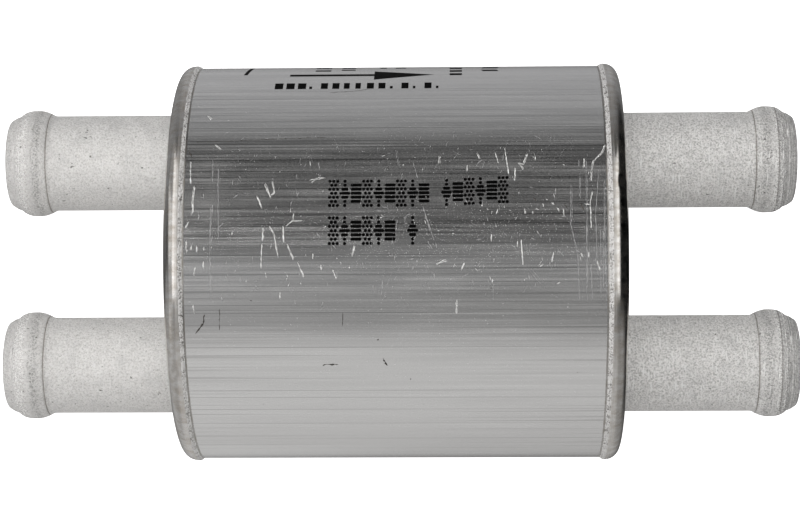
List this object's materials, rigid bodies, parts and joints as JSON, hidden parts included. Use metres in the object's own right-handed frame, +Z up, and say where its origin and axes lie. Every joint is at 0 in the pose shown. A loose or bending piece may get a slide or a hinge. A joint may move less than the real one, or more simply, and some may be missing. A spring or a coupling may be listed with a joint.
{
  "type": "in-line fuel filter",
  "caption": "In-line gas fuel filter: crimped aluminium housing around a pleated paper element, with a pair of beaded hose nozzles standing out of each end.",
  "frame": {"origin": "centre of the housing, on its axis", "axes": "+X along the housing from the inlets to the outlets, the two nozzles of each end apart along Y, +Z up with the filter lying on its side"},
  "size_m": [0.0984, 0.0496, 0.0496],
  "materials": {
    "housing": "bright drawn tube",
    "end_cap": "turned",
    "nozzle": "tumbled matt",
    "seal": "moulded",
    "filter_paper": "resin-treated paper",
    "tinplate": "tinned sheet",
    "potting": "cast polyurethane",
    "spring_steel": "drawn wire"
  },
  "bodies": {
    "root": {"housing_tube": "housing", "inlet_end_cap": "end_cap", "outlet_end_cap": "end_cap", "inlet_nozzle_upper": "nozzle", "inlet_nozzle_lower": "nozzle", "outlet_nozzle_upper": "nozzle", "outlet_nozzle_lower": "nozzle", "inlet_cap_seal": "seal", "outlet_cap_seal": "seal", "inlet_seal_upper": "seal", "inlet_seal_lower": "seal", "outlet_seal_upper": "seal", "outlet_seal_lower": "seal", "element_gasket": "seal", "pleated_paper": "filter_paper", "seam_clip": "tinplate", "centre_tube": "tinplate", "closed_end_disc": "tinplate", "open_end_disc": "tinplate", "inlet_potting": "potting", "outlet_potting": "potting", "compression_spring": "spring_steel"}
  },
  "joints": []
}
